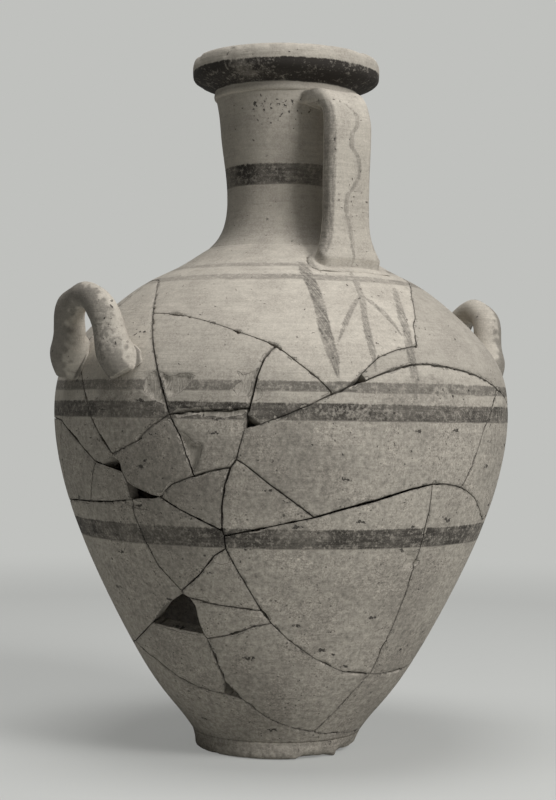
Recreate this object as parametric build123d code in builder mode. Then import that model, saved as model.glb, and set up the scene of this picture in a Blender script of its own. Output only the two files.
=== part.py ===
"""A three-handled water jar (hydria), wheel-thrown in fired clay, broken and mended.

The wall of the body is made of its separate sherds, set edge to edge with the open joins and
the lost chips of the mended jar. The neck with its lip, the disc foot, the strap handle and
the two loop handles are pieces that the potter made apart and luted on.

The origin is the centre of the underside of the foot. +Z is up, and the strap handle stands
on the -Y side. Azimuths are in degrees from the strap handle, turning towards +X.
"""
import os
from math import cos, hypot, radians, sin

from build123d import *

os.makedirs("parts", exist_ok=True)

# The body, in millimetres
foot_radius = 58.2
foot_height = 12.0
foot_bevel = 1.2
belly_radius = 157.6
belly_height_share = 0.6727
joint_radius = 52.8
joint_height = 345.0
belly_height = foot_height + belly_height_share * (joint_height - foot_height)
wall = 8.0
floor_thickness = 9.0
floor_radius = 49.0

# The neck and the lip
neck_wall = 6.4
waist_radius = 40.1
waist_rise = 33.0
waist_height = joint_height + waist_rise
collar_radius = 50.9
collar_rise = 7.0
neck_top_radius = 48.6
neck_rise = 104.0
neck_top_height = joint_height + neck_rise
lip_radius = 65.4
lip_rise = 29.0
lip_height = neck_top_height + lip_rise
lip_edge = 15.5
lip_round = 4.0
lip_setback = 1.0
lip_top_width = 11.0

# The strap handle, from under the collar down to the shoulder
strap_width = 36.0
strap_thickness = 13.0
strap_reach = 70.0
strap_top_drop = 5.4
strap_top_height = neck_top_height - strap_top_drop
strap_foot_drop = 7.0
strap_foot_height = joint_height - strap_foot_drop

# The two loop handles, upright coils on the shoulder
coil_radius = 8.9
loop_stand_off = 3.2
loop_lean = 3.2
loop_reach = belly_radius + loop_stand_off
loop_spring_rise = 41.0
loop_spring_height = belly_height + loop_spring_rise
loop_root_drop = 19.0
loop_root_height = loop_spring_height - loop_root_drop
left_loop_azimuth = -87.6
left_loop_half_spread = 25.2
left_loop_crown_shift = -2.5
left_loop_rise = 37.7
left_loop_height = loop_spring_height + left_loop_rise
right_loop_azimuth = 82.0
right_loop_half_spread = 24.0
right_loop_crown_shift = 0
right_loop_rise = 41.7
right_loop_height = loop_spring_height + right_loop_rise

# The joins between the sherds
hairline = 0.4
fine_join = 0.6
open_join = 1.2
cutter_apex_height = 150.0

# Shapes of the handles, as shares of their own thickness
strap_round_share = 0.42
root_depth_share = 0.35
neck_inside_start = 2

# How far each cutting wedge reaches past the wall, as shares of its corner distances
wedge_near_share = 0.75
wedge_far_share = 1.3

# The outside of the body as shares: radius, then height, from the foot up to the belly
lower_shares = [
    (0.000, 0.000), (0.058, 0.036), (0.209, 0.118), (0.431, 0.268),
    (0.650, 0.453), (0.841, 0.647), (0.969, 0.844), (1.000, 1.000),
]
# and from the belly up to the neck joint, where the radius share falls to nothing
upper_shares = [
    (0.961, 0.220), (0.842, 0.408), (0.632, 0.610), (0.384, 0.786),
    (0.183, 0.885), (0.052, 0.968), (0.000, 1.000),
]
body_points = [
    (foot_radius + r * (belly_radius - foot_radius), foot_height + h * (belly_height - foot_height))
    for r, h in lower_shares
]
body_points += [
    (joint_radius + r * (belly_radius - joint_radius), belly_height + h * (joint_height - belly_height))
    for r, h in upper_shares
]

# The outside of the neck as shares: from the joint up to the waist, then up to the collar
neck_lower_shares = [(1.000, 0.000), (0.730, 0.106), (0.510, 0.212), (0.230, 0.424), (0.060, 0.680)]
neck_upper_shares = [
    (0.000, 0.000), (0.100, 0.220), (0.340, 0.430), (0.560, 0.620), (0.830, 0.900), (1.000, 1.000),
]
neck_points = [
    (waist_radius + r * (joint_radius - waist_radius), joint_height + h * (waist_height - joint_height))
    for r, h in neck_lower_shares
]
neck_points += [
    (waist_radius + r * (neck_top_radius - waist_radius), waist_height + h * (neck_top_height - waist_height))
    for r, h in neck_upper_shares
]

# Corners where joins meet: azimuth in degrees, then height as a share of the body's height.
# c lie round the crown ring, s on the shoulder, m round the middle, w on the lower wall,
# f by the foot, and p at the corners of the lost chips.
corner_shares = {
    "c1": (-96.5, 0.925), "c2": (-77.0, 0.850), "c3": (-37.5, 0.785), "c4": (-24.5, 0.698),
    "c5": (0.0, 0.792), "c6": (32.0, 0.932), "c7": (104.0, 0.892), "c8": (152.0, 0.862),
    "c9": (204.0, 0.874), "c10": (255.0, 0.928),
    "s1": (-98.5, 0.775), "s2": (-62.0, 0.655), "s3": (-43.0, 0.670), "s4": (30.5, 0.715),
    "s5": (43.5, 0.685), "s6": (110.0, 0.673), "s7": (150.0, 0.679), "s8": (200.0, 0.667),
    "s9": (-104.5, 0.640),
    "m1": (-79.5, 0.578), "m2": (-86.5, 0.562), "m3": (-56.5, 0.542), "m4": (-47.5, 0.560),
    "m5": (-46.0, 0.575), "m6": (-93.5, 0.482), "m7": (-75.5, 0.492), "m8": (-50.5, 0.440),
    "m9": (-50.0, 0.430), "m10": (-50.0, 0.405), "m11": (-27.5, 0.468), "m12": (3.5, 0.530),
    "m13": (15.0, 0.522), "m14": (37.0, 0.450), "m15": (104.0, 0.468), "m16": (148.0, 0.453),
    "m17": (202.0, 0.474), "m18": (-113.5, 0.477),
    "w1": (-65.5, 0.318), "w2": (-41.0, 0.285), "w3": (-38.0, 0.260), "w4": (-60.5, 0.223),
    "w5": (-106.0, 0.190), "w6": (4.5, 0.147), "w7": (31.5, 0.145), "w8": (98.0, 0.174),
    "w9": (150.0, 0.156), "w10": (200.0, 0.192),
    "f1": (-59.5, 0.107), "f2": (-12.5, 0.022), "f3": (41.5, 0.018),
    "p1": (-43.5, 0.657), "p2": (-40.5, 0.640), "p3": (-44.0, 0.632),
    "p4": (-80.0, 0.573), "p5": (-83.5, 0.557), "p6": (-77.0, 0.545),
    "p7": (-76.0, 0.525), "p8": (-66.5, 0.500),
    "p9": (-65.5, 0.312), "p10": (-82.5, 0.245), "p11": (-61.5, 0.233), "p12": (-63.5, 0.305),
    "p13": (-57.5, 0.135), "p14": (-51.5, 0.098),
    "p15": (-20.5, 0.713), "p16": (-17.5, 0.735), "p17": (-16.5, 0.723),
}

# Joins: first corner, shares of the points between, last corner, width
join_shares = [
    ("c1", [(-86.5, 0.900), (-81.5, 0.877)], "c2", fine_join),
    ("c2", [(-66.5, 0.845), (-56.0, 0.830), (-47.0, 0.810)], "c3", hairline),
    ("c3", [(-32.0, 0.752), (-27.5, 0.723)], "c4", fine_join),
    ("c4", [(-22.5, 0.703)], "p15", open_join),
    ("p16", [(-12.5, 0.767), (-7.0, 0.782)], "c5", fine_join),
    ("c5", [(3.0, 0.833), (6.0, 0.848), (14.5, 0.895)], "c6", hairline),
    ("c6", [(45.0, 0.952), (62.0, 0.942), (85.0, 0.907)], "c7", hairline),
    ("c7", [(120.0, 0.868), (138.0, 0.883)], "c8", fine_join),
    ("c8", [(170.0, 0.877), (188.0, 0.898)], "c9", fine_join),
    ("c9", [(222.0, 0.892), (240.0, 0.919)], "c10", fine_join),
    ("c10", [], "c1", fine_join),
    ("c2", [(-73.0, 0.818), (-68.0, 0.765), (-65.5, 0.728), (-63.5, 0.690)], "s2", open_join),
    ("c3", [(-40.0, 0.762), (-41.5, 0.728), (-42.5, 0.688)], "s3", open_join),
    ("c4", [(-29.5, 0.677), (-35.0, 0.657)], "p2", fine_join),
    ("c7", [(106.0, 0.835), (112.0, 0.751), (108.0, 0.694)], "s6", fine_join),
    ("c8", [(156.0, 0.805), (149.0, 0.739)], "s7", open_join),
    ("c9", [(206.0, 0.820), (200.0, 0.751)], "s8", fine_join),
    ("c10", [(257.0, 0.865), (259.0, 0.820)], "s1", fine_join),
    ("s2", [(-58.0, 0.662), (-53.0, 0.665), (-48.0, 0.665)], "s3", open_join),
    ("s2", [(-66.5, 0.635), (-71.5, 0.603)], "m1", fine_join),
    ("s2", [(-59.5, 0.618), (-58.0, 0.580)], "m3", fine_join),
    ("s1", [(-91.0, 0.708), (-87.0, 0.650), (-83.0, 0.608)], "m1", fine_join),
    ("s3", [], "p1", open_join),
    ("p3", [(-45.0, 0.605)], "m5", fine_join),
    ("p17", [(-10.0, 0.743), (-4.0, 0.755), (2.0, 0.757), (10.5, 0.750), (20.0, 0.738)], "s4", open_join),
    ("s4", [(37.0, 0.703)], "s5", open_join),
    ("s5", [(58.0, 0.664), (72.0, 0.652), (90.0, 0.664)], "s6", open_join),
    ("s6", [(130.0, 0.649)], "s7", fine_join),
    ("s7", [(172.0, 0.652)], "s8", fine_join),
    ("s8", [(226.0, 0.631)], "s9", fine_join),
    ("s9", [(-95.0, 0.605)], "m2", fine_join),
    ("s4", [(21.0, 0.632), (17.5, 0.560)], "m13", hairline),
    ("s9", [(-109.0, 0.559)], "m18", fine_join),
    ("m1", [], "p4", fine_join),
    ("p5", [], "m2", fine_join),
    ("m2", [(-90.0, 0.525)], "m6", fine_join),
    ("p6", [], "p7", fine_join),
    ("p8", [(-62.5, 0.525)], "m3", fine_join),
    ("m3", [(-52.5, 0.552)], "m4", fine_join),
    ("m4", [], "m5", open_join),
    ("p8", [(-61.0, 0.477)], "m8", fine_join),
    ("m18", [], "m6", fine_join),
    ("m6", [(-83.5, 0.485)], "m7", fine_join),
    ("m7", [(-75.5, 0.463), (-74.0, 0.415), (-71.5, 0.365)], "w1", fine_join),
    ("m5", [(-44.0, 0.565), (-38.5, 0.530)], "m11", fine_join),
    ("m4", [(-49.0, 0.527), (-50.0, 0.487)], "m8", open_join),
    ("m8", [], "m9", open_join),
    ("m9", [(-42.0, 0.443), (-33.5, 0.458)], "m11", fine_join),
    ("m11", [(-21.5, 0.482), (-11.5, 0.502), (-3.5, 0.520)], "m12", open_join),
    ("m12", [(8.0, 0.530)], "m13", fine_join),
    ("m13", [(23.0, 0.500), (30.5, 0.470)], "m14", fine_join),
    ("m14", [(60.0, 0.474), (84.0, 0.444)], "m15", fine_join),
    ("m15", [(126.0, 0.480)], "m16", fine_join),
    ("m16", [(176.0, 0.438)], "m17", fine_join),
    ("m17", [(224.0, 0.453)], "m18", fine_join),
    ("s6", [(113.0, 0.607), (105.0, 0.541)], "m15", fine_join),
    ("s7", [(146.0, 0.601), (153.0, 0.535)], "m16", fine_join),
    ("s8", [(205.0, 0.595), (197.0, 0.523)], "m17", open_join),
    ("m9", [], "m10", open_join),
    ("m10", [(-47.0, 0.360), (-43.5, 0.315)], "w2", fine_join),
    ("m10", [(-53.5, 0.390), (-58.5, 0.352)], "w1", fine_join),
    ("w1", [], "p9", fine_join),
    ("w2", [], "w3", fine_join),
    ("w3", [(-32.0, 0.225), (-22.5, 0.188), (-8.5, 0.155)], "w6", hairline),
    ("w6", [(18.0, 0.142)], "w7", fine_join),
    ("w6", [(-1.0, 0.107), (-6.5, 0.058)], "f2", hairline),
    ("m12", [(4.5, 0.475), (5.0, 0.395), (5.5, 0.312), (5.5, 0.235)], "w6", hairline),
    ("m15", [(100.0, 0.384), (106.0, 0.294)], "w8", fine_join),
    ("m16", [(152.0, 0.354), (144.0, 0.258)], "w9", fine_join),
    ("m17", [(197.0, 0.384), (204.0, 0.288)], "w10", fine_join),
    ("w7", [(52.0, 0.162), (76.0, 0.138)], "w8", fine_join),
    ("w8", [(124.0, 0.186)], "w9", fine_join),
    ("w9", [(175.0, 0.150)], "w10", fine_join),
    ("w10", [(226.0, 0.162), (250.0, 0.188)], "w5", fine_join),
    ("p12", [(-58.5, 0.297), (-49.0, 0.290)], "w2", fine_join),
    ("p10", [(-91.0, 0.220)], "w5", fine_join),
    ("w5", [(-93.0, 0.163), (-76.0, 0.120)], "f1", hairline),
    ("p11", [], "w4", fine_join),
    ("w4", [(-51.0, 0.235), (-43.5, 0.253)], "w3", fine_join),
    ("w4", [(-59.5, 0.190)], "p13", fine_join),
    ("p14", [(-39.5, 0.055)], "f2", fine_join),
    ("f2", [(10.0, 0.014)], "f3", fine_join),
    ("f3", [(66.0, 0.036), (84.0, 0.096)], "w8", fine_join),
]

# Edges of the lost chips, where one side of the join is missing
chip_edge_shares = [
    ("p1", [], "p2"), ("p2", [], "p3"), ("p3", [], "p1"),
    ("p4", [(-77.5, 0.565)], "p6"), ("p6", [], "p5"), ("p5", [], "p4"),
    ("p7", [(-74.0, 0.517), (-71.0, 0.510), (-68.5, 0.503)], "p8"),
    ("p8", [(-69.0, 0.496), (-72.5, 0.495)], "m7"), ("m7", [], "p7"),
    ("p9", [], "p12"), ("p12", [(-62.0, 0.290), (-62.0, 0.255)], "p11"),
    ("p11", [(-70.0, 0.236)], "p10"), ("p10", [(-74.0, 0.283)], "p9"),
    ("p13", [(-54.5, 0.117)], "p14"), ("p14", [], "f1"), ("f1", [], "p13"),
    ("p15", [], "p16"), ("p16", [], "p17"), ("p17", [], "p15"),
]

# The sherds of the wall, each by its corners in order round its edge
sherds = {
    "shoulder_crown": "c1 c2 c3 c4 p15 p16 c5 c6 c7 c8 c9 c10",
    "shoulder_right": "c5 c6 c7 s6 s5 s4 p17 p16",
    "shoulder_back_right": "c7 c8 s7 s6",
    "shoulder_back_left": "c8 c9 s8 s7",
    "shoulder_far_left": "c9 c10 s1 m1 p4 p5 m2 s9 s8",
    "shoulder_left": "c10 c1 c2 s2 m1 s1",
    "shoulder_front_left": "c2 c3 s3 s2",
    "shoulder_front_wedge": "c3 c4 p2 p1 s3",
    "belly_front_patch": "s2 s3 p1 p3 m5 m4 m3",
    "belly_left_patch": "s2 m3 p8 p7 p6 p4 m1",
    "belly_far_left": "s9 m2 m6 m18",
    "belly_left_strip": "m2 p5 p6 p7 m7 m6",
    "belly_front": "c4 p15 p17 s4 m13 m12 m11 m5 p3 p2",
    "belly_right": "s4 s5 s6 m15 m14 m13",
    "belly_back_right": "s6 s7 m16 m15",
    "belly_back": "s7 s8 m17 m16",
    "belly_back_left": "s8 s9 m18 m17",
    "belly_front_chisel": "m5 m11 m9 m8 m4",
    "belly_small_wedge": "m3 m4 m8 p8",
    "lower_left_panel": "m7 p8 m8 m9 m10 w1",
    "lower_far_left": "m18 m6 m7 w1 p9 p10 w5 w10 m17",
    "lower_left_wedge": "m10 w2 p12 p9 w1",
    "lower_left_small": "p12 w2 w3 w4 p11",
    "base_left": "p10 p11 w4 p13 f1 w5",
    "base_front": "w4 w3 w6 f2 p14 p13",
    "lower_front": "m9 m11 m12 w6 w3 w2 m10",
    "lower_right": "m12 m13 m14 m15 w8 w7 w6",
    "lower_back_right": "m15 m16 w9 w8",
    "lower_back": "m16 m17 w10 w9",
    "base_right": "w6 w7 w8 f3 f2",
    "base_with_floor": "w5 f1 p14 f2 f3 w8 w9 w10",
}


def outline(points, setback):
    """Points of an outside, moved square to it into the wall by setback."""
    moved = []
    for place, (radius, height) in enumerate(points):
        before = points[max(place - 1, 0)]
        after = points[min(place + 1, len(points) - 1)]
        out, up = after[0] - before[0], after[1] - before[1]
        run = hypot(out, up)
        moved.append((radius - setback * up / run, height + setback * out / run))
    return moved


# The outside and the inside of the wall, from the foot and the floor up to the neck joint
wall_inside = outline(body_points, wall)
wall_inside[0] = (floor_radius, foot_height + floor_thickness)
wall_inside[-1] = (joint_radius - wall, joint_height)
with BuildPart() as body_wall:
    with BuildSketch(Plane.XZ):
        with BuildLine():
            Spline(*body_points)
            Line(body_points[-1], wall_inside[-1])
            Spline(*wall_inside[::-1])
            Polyline(wall_inside[0], (0, wall_inside[0][1]), (0, foot_height), body_points[0])
        make_face()
    revolve(axis=Axis.Z)

with BuildLine() as outside:
    Spline(*body_points)


def wall_radius(height):
    """Radius of the body's outside at a height, found along its outline."""
    low, high = 0.0, 1.0
    for _ in range(40):
        middle = (low + high) / 2
        if (outside.line @ middle).Y < height:
            low = middle
        else:
            high = middle
    return (outside.line @ low).X


def on_wall(azimuth, share):
    """Point on the body's outside, seen from the apex that all the cuts point at."""
    height = foot_height + share * (joint_height - foot_height)
    radius = wall_radius(height)
    turn = radians(azimuth)
    return Vector(radius * sin(turn), -radius * cos(turn), height - cutter_apex_height)


def side(first, last):
    """Points from corner first up to, but not with, corner last, and the join's width."""
    for start, between, end, width in join_shares + [edge + (0.0,) for edge in chip_edge_shares]:
        if (start, end) == (first, last):
            return [corner_shares[first]] + between, width
        if (end, start) == (first, last):
            return [corner_shares[first]] + between[::-1], width
    raise ValueError(f"no join between {first} and {last}")


def cutter(rays, shifts):
    """A ruled solid through the wall, its edges along rays from the apex, each shifted a little."""
    middle = sum((ray.normalized() for ray in rays), Vector(0, 0, 0)).normalized()
    near = wedge_near_share * min(ray.dot(middle) for ray in rays)
    far = wedge_far_share * max(ray.length for ray in rays)
    apex = Vector(0, 0, cutter_apex_height)
    with BuildPart() as ruled:
        for distance in (near, far):
            level = Plane(origin=apex + middle * distance, z_dir=middle)
            ring = []
            for ray, shift in zip(rays, shifts):
                reach = (distance - shift.dot(middle)) / ray.dot(middle)
                ring.append(level.to_local_coords(apex + ray * reach + shift))
            with BuildSketch(level):
                with BuildLine():
                    Polyline(*[(point.X, point.Y) for point in ring], close=True)
                make_face()
        loft(ruled=True)
    return ruled.part


def wedge(corners):
    """The wedge that cuts one sherd out of the wall, drawn in by half of each join's width.

    Its sides run to one apex on the jar's axis, so that neighbours share their cuts.
    """
    names = corners.split()
    rays = []
    gaps = []
    for first, last in zip(names, names[1:] + names[:1]):
        points, width = side(first, last)
        rays += [on_wall(*point) for point in points]
        gaps += [width / 2] * len(points)
    middle = sum((ray.normalized() for ray in rays), Vector(0, 0, 0))
    crosses = [a.cross(b) for a, b in zip(rays, rays[1:] + rays[:1])]
    inward = 1 if sum(crosses, Vector(0, 0, 0)).dot(middle) > 0 else -1
    normals = [cross.normalized() * inward for cross in crosses]
    shifts = []
    for place in range(len(rays)):
        before, after = normals[place - 1], normals[place]
        gap = (gaps[place - 1] + gaps[place]) / 2
        shifts.append((before + after) * (gap / (1 + before.dot(after))))
    return cutter(rays, shifts)


def write(part, name):
    """Label a finished piece and write it."""
    part.label = name
    export_step(part, f"parts/{name}.step")


def neck_outside():
    """Draw the outside of the neck, from the joint up over the collar's moulding."""
    Spline(*neck_points)
    collar_middle = (collar_radius, neck_top_height + collar_rise / 2)
    ThreePointArc(neck_points[-1], collar_middle, lip_root)


# The foot, a flat disc under the body
with BuildPart() as foot_disc:
    with BuildSketch(Plane.XZ):
        with BuildLine():
            Polyline(
                (0, 0), (foot_radius - foot_bevel, 0), (foot_radius, foot_bevel),
                (foot_radius, foot_height), (0, foot_height), close=True,
            )
        make_face()
    revolve(axis=Axis.Z)
write(foot_disc.part, "foot_disc")

# The neck and the lip, thrown in one and luted on the shoulder
lip_root = (collar_radius - lip_setback, neck_top_height + collar_rise)
lip_under = (lip_radius - lip_setback, lip_height - lip_edge)
lip_outer_top = (lip_radius - lip_round, lip_height)
lip_inner_top = (lip_radius - lip_round - lip_top_width, lip_height)
neck_inside = outline(neck_points, neck_wall)
neck_inside = [(joint_radius - wall, joint_height)] + neck_inside[neck_inside_start:]
with BuildPart() as neck_and_lip:
    with BuildSketch(Plane.XZ):
        with BuildLine():
            neck_outside()
            Line(lip_root, lip_under)
            ThreePointArc(lip_under, (lip_radius, lip_height - lip_edge / 2), lip_outer_top)
            Line(lip_outer_top, lip_inner_top)
            bore = Spline(*neck_inside)
            TangentArc(bore @ 1, lip_inner_top, tangent=bore % 1)
            Line(bore @ 0, neck_points[0])
        make_face()
    revolve(axis=Axis.Z)
write(neck_and_lip.part, "neck_and_lip")

# The filled outside of the body and neck, which every handle is trimmed to
with BuildPart() as envelope:
    with BuildSketch(Plane.XZ):
        with BuildLine():
            Spline(*body_points)
            neck_outside()
            Polyline(lip_root, (0, lip_root[1]), (0, foot_height), body_points[0])
        make_face()
    revolve(axis=Axis.Z)

# The strap handle: a pulled strap of rounded section, bent down from under the collar.
# Stations: distance inside the reach, height above or below, both in strap thicknesses,
# the turn of the section in degrees, and its width and thickness as shares
upper_station_shares = [
    (-2.30, 0.00, 0, 1.45, 0.92), (-1.35, 0.02, 0, 1.12, 0.86), (-0.38, -0.34, 45, 1.00, 0.96),
    (0.00, -1.25, 90, 1.00, 1.00), (0.00, -4.00, 90, 1.00, 1.00),
]
lower_station_shares = [
    (0.00, 1.90, 90, 1.00, 1.00), (0.04, 0.90, 90, 1.08, 1.10), (0.12, 0.10, 90, 1.28, 1.32),
    (0.18, -0.90, 90, 1.62, 1.66),
]
with BuildPart() as strap_handle:
    for start, stations in (
        (strap_top_height, upper_station_shares), (strap_foot_height, lower_station_shares),
    ):
        for inward, rise, turn, width, thickness in stations:
            reach = strap_reach + inward * strap_thickness
            station = Plane(
                origin=(0, -reach, start + rise * strap_thickness), x_dir=(1, 0, 0),
                z_dir=(0, -cos(radians(turn)), -sin(radians(turn))),
            )
            with BuildSketch(station):
                RectangleRounded(
                    strap_width * width, strap_thickness * thickness,
                    strap_thickness * thickness * strap_round_share,
                )
    loft()
    add(envelope.part, mode=Mode.SUBTRACT)
write(strap_handle.part, "strap_handle")


# The legs of a loop handle as shares: spread, height from root to spring, coil radius,
# and how far the coil has come out from the wall towards its reach at the spring
leg_shares = [(1.22, 0.00, 1.34, 0.00), (1.16, 0.36, 1.36, 0.62), (1.08, 0.68, 1.34, 0.94), (1.00, 1.00, 1.27, 1.00)]
# The arch: turn in degrees and coil radius as a share. It leans out towards its crown.
arch_shares = [(30, 1.17), (60, 1.06), (90, 1.00), (120, 1.06), (150, 1.17)]


def loop_handle(azimuth, half_spread, crown_shift, height, name):
    """One coil, rooted twice on the shoulder and arched upright clear of the wall."""
    turn = radians(azimuth)
    outward = Vector(sin(turn), -cos(turn), 0)
    across = Vector(cos(turn), sin(turn), 0)
    root_reach = wall_radius(loop_root_height) - coil_radius * root_depth_share
    spring_reach = loop_reach - loop_lean

    def place(spread, rise, reach):
        return across * spread + outward * reach + Vector(0, 0, rise)

    centres = []
    sizes = []
    for spread, rise, size, out in leg_shares:
        level = loop_root_height + rise * (loop_spring_height - loop_root_height)
        centres.append(place(-spread * half_spread, level, root_reach + out * (spring_reach - root_reach)))
        sizes.append(size)
    for angle, size in arch_shares:
        swing = radians(angle)
        level = loop_spring_height + sin(swing) * (height - coil_radius - loop_spring_height)
        spread = sin(swing) * crown_shift - cos(swing) * half_spread
        centres.append(place(spread, level, spring_reach + sin(swing) * loop_lean))
        sizes.append(size)
    for spread, rise, size, out in leg_shares[::-1]:
        level = loop_root_height + rise * (loop_spring_height - loop_root_height)
        centres.append(place(spread * half_spread, level, root_reach + out * (spring_reach - root_reach)))
        sizes.append(size)
    with BuildPart() as coil:
        for spot, centre in enumerate(centres):
            along = centres[min(spot + 1, len(centres) - 1)] - centres[max(spot - 1, 0)]
            with BuildSketch(Plane(origin=centre, x_dir=outward, z_dir=along)):
                Circle(coil_radius * sizes[spot])
        loft()
        add(envelope.part, mode=Mode.SUBTRACT)
    write(coil.part, name)


loop_handle(
    left_loop_azimuth, left_loop_half_spread, left_loop_crown_shift, left_loop_height, "loop_handle_left",
)
loop_handle(
    right_loop_azimuth, right_loop_half_spread, right_loop_crown_shift, right_loop_height, "loop_handle_right",
)

# The sherds of the wall
for name, corners in sherds.items():
    with BuildPart() as sherd:
        add(body_wall.part)
        add(wedge(corners), mode=Mode.INTERSECT)
    write(sherd.part, name)
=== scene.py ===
import math

import bmesh
import bpy
import numpy as np
from mathutils import Matrix, Vector, noise
from mathutils.bvhtree import BVHTree
from mathutils.kdtree import KDTree


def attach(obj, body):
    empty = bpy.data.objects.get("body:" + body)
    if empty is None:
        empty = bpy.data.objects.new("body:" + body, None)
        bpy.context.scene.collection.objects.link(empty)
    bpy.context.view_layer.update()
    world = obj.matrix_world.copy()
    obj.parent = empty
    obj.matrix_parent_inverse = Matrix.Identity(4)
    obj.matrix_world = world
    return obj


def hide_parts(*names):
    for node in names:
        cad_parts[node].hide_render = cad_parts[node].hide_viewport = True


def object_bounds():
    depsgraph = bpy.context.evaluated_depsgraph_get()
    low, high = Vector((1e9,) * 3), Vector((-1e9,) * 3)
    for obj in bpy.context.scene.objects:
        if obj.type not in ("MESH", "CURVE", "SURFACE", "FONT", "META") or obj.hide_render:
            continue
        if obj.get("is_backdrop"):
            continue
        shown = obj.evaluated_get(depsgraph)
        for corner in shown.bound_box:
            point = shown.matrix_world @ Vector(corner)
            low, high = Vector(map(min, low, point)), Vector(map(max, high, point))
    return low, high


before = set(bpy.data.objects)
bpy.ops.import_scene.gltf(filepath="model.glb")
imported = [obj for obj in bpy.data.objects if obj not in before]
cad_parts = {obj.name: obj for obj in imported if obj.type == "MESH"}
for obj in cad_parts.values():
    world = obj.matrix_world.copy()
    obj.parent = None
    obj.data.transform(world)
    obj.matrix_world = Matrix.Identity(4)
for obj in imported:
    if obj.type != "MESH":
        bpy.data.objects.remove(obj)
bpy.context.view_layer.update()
mm = 0.001

# The wall of the body: a buff water-jar clay, thrown on the wheel in one, about 8 mm thick. It
# broke in the ground and was put back together from its sherds. Each sherd is cut out of the
# one turned wall along its own breaks, and keeps its chipped edges and flaked patches.
body_outline = [
    (58.2, 12.0), (64.0, 20.1), (79.0, 38.4), (101.0, 72.0), (122.8, 113.5), (141.8, 156.9),
    (154.5, 201.1), (157.6, 236.0), (153.5, 260.0), (141.0, 280.5), (119.0, 302.5), (93.0, 321.7),
    (72.0, 332.5), (58.2, 341.5), (52.8, 345.0),
]
wall_thickness = 8.0
floor_edge = (49.0, 21.0)
floor_fillet = 4.0
foot_height = 12.0
underside_ring = 29.0
floor_ring = 24.0
wall_row = 1.8
wall_columns = 540
potter_wobble, wobbles_per_metre = 0.18, 9
potter_ridges, ridges_per_metre = 0.08, 170
rays_from = Vector((0, 0, 150.0)) * mm

# Slipped earthenware: the clay wiped with a thin pale slip of itself and fired hard but matte.
# The eye gets a chalky skin with faint wheel marks, grit pits, stains and flaked patches, and
# bands of iron-slip paint brushed on as the jar turned, thin and worn at their edges.
slip_pale = "#BBB4A8"
slip_mid = "#ABA499"
slip_stained = "#79736B"
bare_clay = "#B0A99E"
core_grey = "#413C37"
iron_paint = "#35312D"
# The dark of grit and dirt, and of the painted shadow line along a flake's step
grit_and_shadow_dark = "#2B2825"
earthenware_roughness = 0.88
earthenware_specular = 0.25
core_roughness = 0.95
core_specular = 0.2

# Size in mm, detail and roughness of the stains, blotches, grain and specks of the clay. Its
# real grain and grit are a third of a millimetre and finer: here they are drawn about three
# times as coarse, as less than that doesn't show in the render.
clay_patterns = [(75.0, 4.0, 0.6), (20.0, 5.0, 0.65), (3.2, 5.0, 0.7), (1.1, 3.0, 0.7)]
# The wheel's marks, the grit, pits and gouges, the facets and hackles of a fresh break, the
# crumbs of the core, the relief of skin and core, and the heights where the grubby part starts
wheel_mark = 24.0
wheel_flatness = 13.0
grit_spacing = 2.6
pit_spacing = 3.6
pit_jog = 7.0
gouge_spacing = 21.0
gouge_shake = 18.0
gouge_flatness = 2.6
fracture_size = 9.0
hackle_size = 4.5
crumb_size = 2.5
skin_relief = 0.7
core_relief = 0.8
clean_above = 262.0
grubby_below = 226.0
stain_sway = 150.0
stroke_taper = 14.0

# How each pattern wears the paint: from and to which value of it, and how much paint is left
paint_wear = [
    (0.46, 0.60, 0.62), (0.46, 0.64, 0.70), (0.46, 0.62, 0.84), (0.52, 0.62, 0.60),
    (0.55, 0.65, 0.68),
]

# The painted bands: lowest and highest edge in mm above the foot, and how dense the paint is
painted_bands = [
    (147.5, 160.0, 0.95), (227.5, 238.0, 0.98), (245.0, 251.5, 0.72), (317.8, 321.6, 0.55),
    (327.6, 330.2, 0.50), (386.8, 400.8, 1.15), (454.6, 467.8, 1.70),
]
band_feather = 0.45

# Brush strokes below the strap handle: half width in mm, density, and (height, azimuth) points
shoulder_strokes = [
    (3.8, 0.80, [
        (253.8, -23.1), (268.0, -23.9), (283.8, -24.9), (303.7, -25.1), (323.5, -26.5),
        (331.0, -27.0),
    ]),
    (1.9, 0.62, [(274.4, -22.5), (284.1, -20.1), (296.2, -16.2), (308.3, -9.7)]),
    (2.1, 0.64, [(281.6, -3.3), (293.3, -4.6), (301.8, -6.5), (308.3, -9.7)]),
    (2.3, 0.66, [
        (258.1, -13.8), (271.8, -13.7), (287.9, -12.9), (304.8, -10.1), (313.3, -8.5),
        (325.1, -5.5),
    ]),
    (3.0, 0.64, [
        (241.3, -3.5), (260.0, -3.5), (272.7, -2.7), (285.8, -0.7), (299.3, 2.2), (315.1, 8.9),
    ]),
]


def linear(hex_colour):
    """An sRGB hex colour as the linear colour that shaders take."""
    channels = [int(hex_colour[place:place + 2], 16) / 255 for place in (1, 3, 5)]
    return [c / 12.92 if c <= 0.04045 else ((c + 0.055) / 1.055) ** 2.4 for c in channels] + [1.0]


def node(tree, kind, inputs=(), **settings):
    """Add a node with its settings. An input is a value, or the node or socket linked to it."""
    made = tree.nodes.new("ShaderNode" + kind)
    for name, value in settings.items():
        setattr(made, name, value)
    for socket, source in inputs.items() if isinstance(inputs, dict) else enumerate(inputs):
        if isinstance(source, bpy.types.Node):
            source = next(output for output in source.outputs if output.enabled)
        if isinstance(source, bpy.types.NodeSocket):
            tree.links.new(source, made.inputs[socket])
        else:
            made.inputs[socket].default_value = source
    return made


def blank(name):
    """A new material, its node tree and its shader."""
    material = bpy.data.materials.new(name)
    material.use_nodes = True
    return material, material.node_tree, material.node_tree.nodes["Principled BSDF"]


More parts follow.
